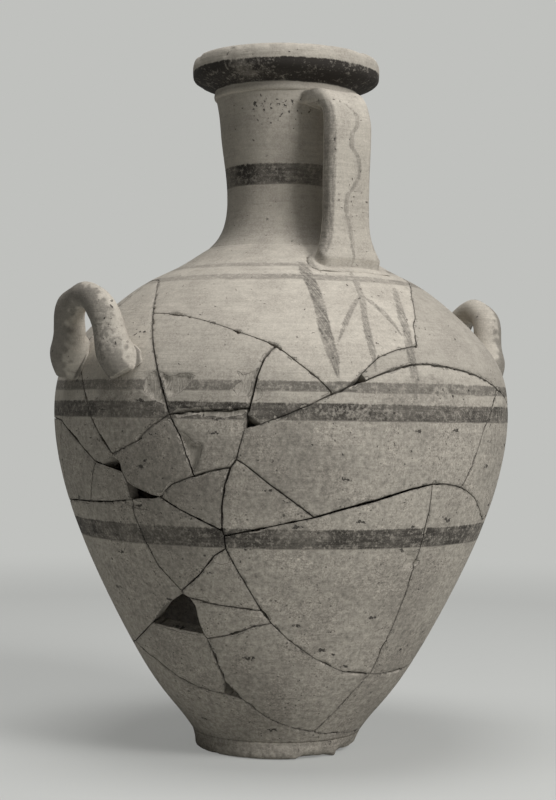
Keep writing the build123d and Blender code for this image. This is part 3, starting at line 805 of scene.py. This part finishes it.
# The neck with its lip: thrown apart on the wheel and luted on the shoulder with slip. It has a
# small collar moulding, a heavy outturned lip painted dark underneath, and a chipped, pitted skin.
neck_outline = [
    (52.8, 345.0), (49.37, 348.5), (46.58, 352.0), (43.02, 359.0), (40.86, 367.4), (40.1, 378.0),
    (40.95, 393.6), (42.99, 408.5), (44.86, 422.0), (47.16, 441.9), (48.6, 449.0),
]
neck_wall = 6.4
collar_bead = [
    (48.6, 449.0), (49.7, 449.5), (50.2, 450.6), (50.2, 452.6), (49.9, 454.4), (50.6, 456.0),
]
lip_outline = [
    (50.6, 456.0), (57.5, 459.0), (63.6, 462.1), (64.7, 463.4), (65.35, 466.5), (65.5, 470.0),
    (64.9, 474.0), (63.6, 476.6), (61.4, 477.8), (58.5, 478.0), (53.5, 477.9), (50.6, 477.6),
    (48.0, 475.5), (45.2, 470.0), (43.2, 461.0), (42.4, 452.0),
]
neck_row = 1.5
neck_columns = 300
neck_crease = 50
lip_chips = [(60, 0.25, 2.4), (190, 0.3, 1.1)]
lip_starts, lip_top = 458.0, 470.0
neck_skin = smooth_line(neck_outline, neck_row)
neck_bore = inset_line(neck_skin, neck_wall)[3:-3]
neck_bore = smooth_line([neck_joint_inside] + neck_bore[::6] + [(42.3, 449.5)], neck_row * 2)
neck_profile = neck_skin + smooth_line(collar_bead, 0.9)[1:] + smooth_line(lip_outline, 1.2)[1:]
neck_profile += neck_bore[::-1] + [neck_skin[0]]
neck = turned("neck_and_lip_clay", neck_profile, neck_columns)
for vertex in neck.data.vertices:
    spot = vertex.co.copy()
    out = outward(spot)
    vertex.co += out * potters_hand(spot)
    if spot.z > lip_starts * mm:
        nick = chipped(spot, lip_chips)
        vertex.co -= out * nick * mm
        vertex.co.z -= nick * mm * 0.7 * (spot.z > lip_top * mm)
neck.data.materials.append(wall_clay)
mark_skin(neck)
bpy.ops.object.shade_smooth_by_angle(angle=math.radians(neck_crease))
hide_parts("neck_and_lip")
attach(neck, "root")

# The foot: a flat disc of the same clay pressed on under the body, its standing edge rubbed
# round and chipped by use.
foot_outline = [
    (0.0, 0.0), (20.0, 0.0), (40.0, 0.0), (46.0, 0.0), (50.0, 0.0), (53.0, 0.1), (55.2, 0.5),
    (56.8, 1.5), (57.5, 3.0), (57.9, 4.6), (58.0, 6.4), (58.0, 8.4), (58.1, 10.2), (58.2, 12.0),
    (40.0, 12.0), (0.0, 12.0),
]
foot_columns = 360
foot_crease = 40
foot_chips = [(45, 0.1, 2.6), (170, 0.1, 2.2)]
chips_from_radius, rim_width = 45.0, 8.0
sound_radius, most_eaten = 44.0, 0.85
# The worn edge: azimuth, half width in degrees, and how deep it is broken away at the bottom
foot_breaks = [(44.0, 34.0, 11.0), (-6.0, 16.0, 3.0), (150.0, 25.0, 6.0), (-130.0, 18.0, 4.0)]
foot = turned("foot_disc_clay", foot_outline, foot_columns)
for vertex in foot.data.vertices:
    spot = vertex.co.copy()
    radius, height = math.hypot(spot.x, spot.y) / mm, spot.z / mm
    if height < foot_height - 0.1 and radius > chips_from_radius:
        low = 1 - height / foot_height
        nick = chipped(spot, foot_chips)
        turn = math.degrees(math.atan2(spot.x, -spot.y))
        for azimuth, half_width, depth in foot_breaks:
            share = max(0.0, 1 - (degrees_apart(turn, azimuth) / half_width) ** 2)
            nick += depth * min(1, share * 2) * (0.85 + 0.5 * noise.noise(spot * 120)) * low**0.6
        rim_share = min(1.0, (radius - chips_from_radius) / rim_width)
        inset = min(nick * low * rim_share, (radius - sound_radius) * most_eaten) * mm
        vertex.co += outward(spot) * (potters_hand(spot) - inset)
        vertex.co.z += min(nick, 4) * low * 0.35 * mm * rim_share * (height < 3)
foot.data.materials.append(wall_clay)
mark_skin(foot)
bpy.ops.object.shade_smooth_by_angle(angle=math.radians(foot_crease))
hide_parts("foot_disc")
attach(foot, "root")

# The strap handle: a pulled strap of clay bent from under the collar down to the shoulder, its
# ends smeared out on the wall. A wavy line is painted down its face and a dark one by its edge.
strap_strokes = [
    (1.6, 0.50, [
        (328.7, -2.1), (340.7, -0.7), (350.7, -0.9), (360.5, -2.8), (368.9, -4.6), (375.0, -3.9),
        (380.6, 0.2), (387.6, 4.3), (393.1, 5.9), (399.1, 5.4), (406.0, 1.4), (410.3, -1.6),
        (417.0, -1.3), (424.8, 3.6), (428.8, 3.5), (434.9, -0.8), (437.8, -5.1),
    ]),
    (2.6, 0.60, [
        (326.0, -31.0), (333.0, -27.5), (341.0, -22.0), (350.0, -18.5), (366.0, -16.8),
        (385.9, -16.4), (418.6, -16.6), (440.0, -17.4),
    ]),
    (1.4, 0.25, [(331.0, 21.0), (348.0, 17.6), (366.0, 16.8), (400.0, 16.6), (440.0, 17.4)]),
]
strap_clay = fired_clay(
    "slipped earthenware with iron-slip strokes", [], strap_strokes, across_strap=True,
)
handle_voxel = 1.1
strap_fillet = 7.0
# The strap's head is smeared round the neck: how far to each side, from which height, how close
# to the wall, and to which height it is drawn
strap_smear = 13.0
smear_from = 436.0
smear_reach = 8.0
smear_to = 450.0
strap_half_width = 16.0
# A root's rim is sunk into the wall: heights over it in the CAD solid, and what they become
root_reach = 2.0
root_gaps = (-3.0, 0.0, 0.4, 1.4)
root_heights = (-0.8, -0.7, -0.25, 1.4)
# The lumps that the fingers left: noise waves a metre, depth in mm, and how far they are sunk
finger_lumps = [(90, 0.35), (300, 0.10)]
lumps_sunk = 0.3
neck_radii = np.array(neck_skin)


def wall_below(point):
    """How far a point stands out from the wall in metres, and the wall's normal there."""
    height = point.z / mm
    if height > body_outline[-1][1]:
        skin = float(np.interp(height, neck_radii[:, 1], neck_radii[:, 0]))
        slant = np.interp((height - 1, height + 1), neck_radii[:, 1], neck_radii[:, 0])
    else:
        skin, slant = skin_radius(height), (skin_radius(height - 1), skin_radius(height + 1))
    out = outward(point)
    square = (out - Vector((0, 0, float(slant[1] - slant[0]) / 2))).normalized()
    stands = math.hypot(point.x, point.y) - skin * mm - potters_hand(point)
    return stands * square.dot(out), square


def softened(piece, name, times):
    """Smooth a piece's mesh a number of times."""
    soft = piece.modifiers.new(name, "SMOOTH")
    soft.factor = 0.5
    soft.iterations = times
    bpy.ops.object.modifier_apply(modifier=name)


def luted_handle(name, clay, fillet, smear=0.0, painted_ridge=0.0):
    """A handle from its CAD solid, remeshed, its roots smoothed down on the wall in a fillet."""
    handle = cad_copy(name)
    bpy.ops.object.mode_set(mode="EDIT")
    bpy.ops.mesh.select_all(action="SELECT")
    bpy.ops.mesh.remove_doubles(threshold=weld * mm)
    bpy.ops.object.mode_set(mode="OBJECT")
    even = handle.modifiers.new("even", "REMESH")
    even.mode = "VOXEL"
    even.voxel_size = handle_voxel * mm
    bpy.ops.object.modifier_apply(modifier="even")
    softened(handle, "soft", 4)
    spots = [(vertex, vertex.co.copy(), vertex.normal.copy()) for vertex in handle.data.vertices]
    middle = sum((spot for vertex, spot, normal in spots), Vector()) / len(spots)
    along = Vector((0, 0, 1)) if smear else Vector((-middle.y, middle.x, 0)).normalized()
    buried = [spot for vertex, spot, normal in spots if wall_below(spot)[0] < root_reach * mm]
    roots = []
    for sign in (-1, 1):
        own = [spot for spot in buried if (spot - middle).dot(along) * sign > 0]
        roots.append(sum(own, Vector()) / len(own))
    for vertex, spot, normal in spots:
        gap, square = wall_below(spot)
        gap /= mm
        spread = spot - roots[(spot - middle).dot(along) > 0]
        spread = (spread - square * spread.dot(square)).normalized()
        if gap < fillet:
            share = 1 - max(gap, 0) / fillet
            sideways = normal - square * normal.dot(square) + spread * 0.7
            sideways /= max(1.0, sideways.length)
            flare = 1 - math.sqrt(1 - share**2) + 0.4 * min(max(-gap, 0), 3) / 3
            vertex.co += sideways * flare * fillet * mm
            if gap > root_gaps[0]:
                sunk = float(np.interp(gap, root_gaps, root_heights))
                vertex.co += square * (sunk - gap) * mm
        if smear and spot.z > smear_from * mm and gap < smear_reach:
            side = max(-1.0, min(1.0, spot.x / (strap_half_width * mm)))
            share = (1 - max(gap, 0) / smear_reach) ** 2
            turn = side * share * smear * mm / math.hypot(spot.x, spot.y)
            thinned = share * abs(side)
            vertex.co -= square * (max(gap, 0) * 0.8 + 0.5) * thinned * mm
            vertex.co.z += (smear_to * mm - spot.z) * thinned * 0.75
            vertex.co = Matrix.Rotation(turn, 3, "Z") @ vertex.co
        lumps = sum(noise.noise(spot * waves) * deep for waves, deep in finger_lumps)
        vertex.co += normal * (lumps - lumps_sunk) * mm
    softened(handle, "settle", 2)
    handle.data.materials.append(clay)
    tones = []
    for vertex in handle.data.vertices:
        worn = noise.noise(vertex.co * 260) * 0.5 + noise.noise(vertex.co * 60) * 0.4
        facing = vertex.normal.dot(outward(vertex.co)) + worn
        tones.append(1.06 - painted_ridge * min(max((facing - 0.2) / 0.3, 0), 1))
    mark_skin(handle, tones)
    bpy.ops.object.shade_smooth()
    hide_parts(name)
    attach(handle, "root")


luted_handle("strap_handle", strap_clay, strap_fillet, smear=strap_smear)

# The two loop handles: rolled coils of clay bent up into an arch and pressed on the shoulder,
# with the worn remains of a painted stripe along their outer side.
loop_fillet = 6.0
loop_stripe = 0.5
for side in ("left", "right"):
    luted_handle("loop_handle_" + side, wall_clay, loop_fillet, painted_ridge=loop_stripe)

bpy.data.objects.remove(whole_wall)

# The floor: a plain pale card that runs out into the same pale grey as the background. The
# camera sees it glow far from the jar and matte, with the jar's shadow, near it.
backdrop_grey = "#C0C1BE"
card_seen = "#C9CAC7"
card_lit = "#BBBCB9"
least_glow = 0.42
glow_from, glow_full = 0.45, 1.6
bpy.ops.object.select_all(action="DESELECT")
bpy.ops.mesh.primitive_grid_add(x_subdivisions=8, y_subdivisions=8, size=14)
floor = bpy.context.object
floor.name = "studio_floor"
card, tree, shader = blank("pale matte card")
shader.inputs["Roughness"].default_value = 0.95
camera_ray = node(tree, "LightPath").outputs["Is Camera Ray"]
shades = {0: camera_ray, 6: linear(card_lit), 7: linear(card_seen)}
shade = node(tree, "Mix", shades, data_type="RGBA")
tree.links.new(shade.outputs[2], shader.inputs["Base Color"])
spot = node(tree, "TexCoord").outputs["Object"]
away = node(tree, "VectorMath", [spot], operation="LENGTH")
fade = node(tree, "MapRange", (away, glow_from, glow_full), interpolation_type="SMOOTHSTEP")
part = node(tree, "Math", (fade, least_glow), operation="MAXIMUM")
seen = node(tree, "Math", (camera_ray, part), operation="MULTIPLY")
glow = node(tree, "Emission", {"Color": linear(backdrop_grey), "Strength": 1.0})
both = node(tree, "MixShader", (seen, shader, glow))
tree.links.new(both.outputs[0], tree.nodes["Material Output"].inputs["Surface"])
floor.data.materials.append(card)
floor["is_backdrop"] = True

# The background: plain pale grey for the camera and in reflections, while the jar itself gets
# only a weak even fill from it.
fill_strength = 0.05
world = bpy.context.scene.world or bpy.data.worlds.new("studio")
bpy.context.scene.world = world
world.use_nodes = True
tree = world.node_tree
tree.nodes.clear()
rays = node(tree, "LightPath").outputs
seen = node(tree, "Math", (rays["Is Camera Ray"], rays["Is Glossy Ray"]), operation="MAXIMUM")
seen = node(tree, "Math", (seen, rays["Is Transmission Ray"]), operation="MAXIMUM")
plain = node(tree, "Background", {"Color": linear(backdrop_grey), "Strength": 1.0})
fill = node(tree, "Background", {"Color": (1.0, 1.0, 1.0, 1.0), "Strength": fill_strength})
both = node(tree, "MixShader", (seen, fill, plain))
sky = node(tree, "OutputWorld")
tree.links.new(both.outputs[0], sky.inputs["Surface"])

# The light: a soft window high on the right, and a wide skylight overhead that fills the left.
camera_azimuth = -36.0
lit_height = 0.24


def lamp(name, turn, rise, distance, size, power):
    """A square soft lamp, turned in degrees to the right of the camera, aimed at the jar."""
    light = bpy.data.lights.new(name, "AREA")
    light.energy = power
    light.size = size
    holder = bpy.data.objects.new(name, light)
    bpy.context.scene.collection.objects.link(holder)
    azimuth, rise = math.radians(camera_azimuth + turn), math.radians(rise)
    flat = distance * math.cos(rise)
    height = lit_height + distance * math.sin(rise)
    holder.location = (flat * math.sin(azimuth), -flat * math.cos(azimuth), height)
    aim = Vector((0, 0, lit_height)) - Vector(holder.location)
    holder.rotation_euler = aim.to_track_quat("-Z", "Y").to_euler()


lamp("window", 46, 31, 2.6, 0.9, 49)
lamp("skylight", -8, 82, 2.4, 1.2, 38)

# The camera: level with the belly's widest part and rolled by almost a degree, as in the photo
frame_height = 800
focal_pixels = 1700
shift_pixels = (-3, 12)
camera_distance = 1.190
camera_height = 0.2325
roll = 0.0155
eye = bpy.data.cameras.new("camera")
eye.lens = eye.sensor_width * focal_pixels / frame_height
eye.shift_x = shift_pixels[0] / frame_height
eye.shift_y = shift_pixels[1] / frame_height
camera = bpy.data.objects.new("camera", eye)
bpy.context.scene.collection.objects.link(camera)
turn = math.radians(camera_azimuth)
across, back = camera_distance * math.sin(turn), -camera_distance * math.cos(turn)
camera.location = (across, back, camera_height)
turned_round = Matrix.Rotation(turn, 3, "Z") @ Matrix.Rotation(math.radians(90), 3, "X")
camera.rotation_euler = (turned_round @ Matrix.Rotation(roll, 3, "Z")).to_euler()
bpy.context.scene.camera = camera
bpy.context.scene.view_settings.view_transform = "Standard"

low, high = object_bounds()
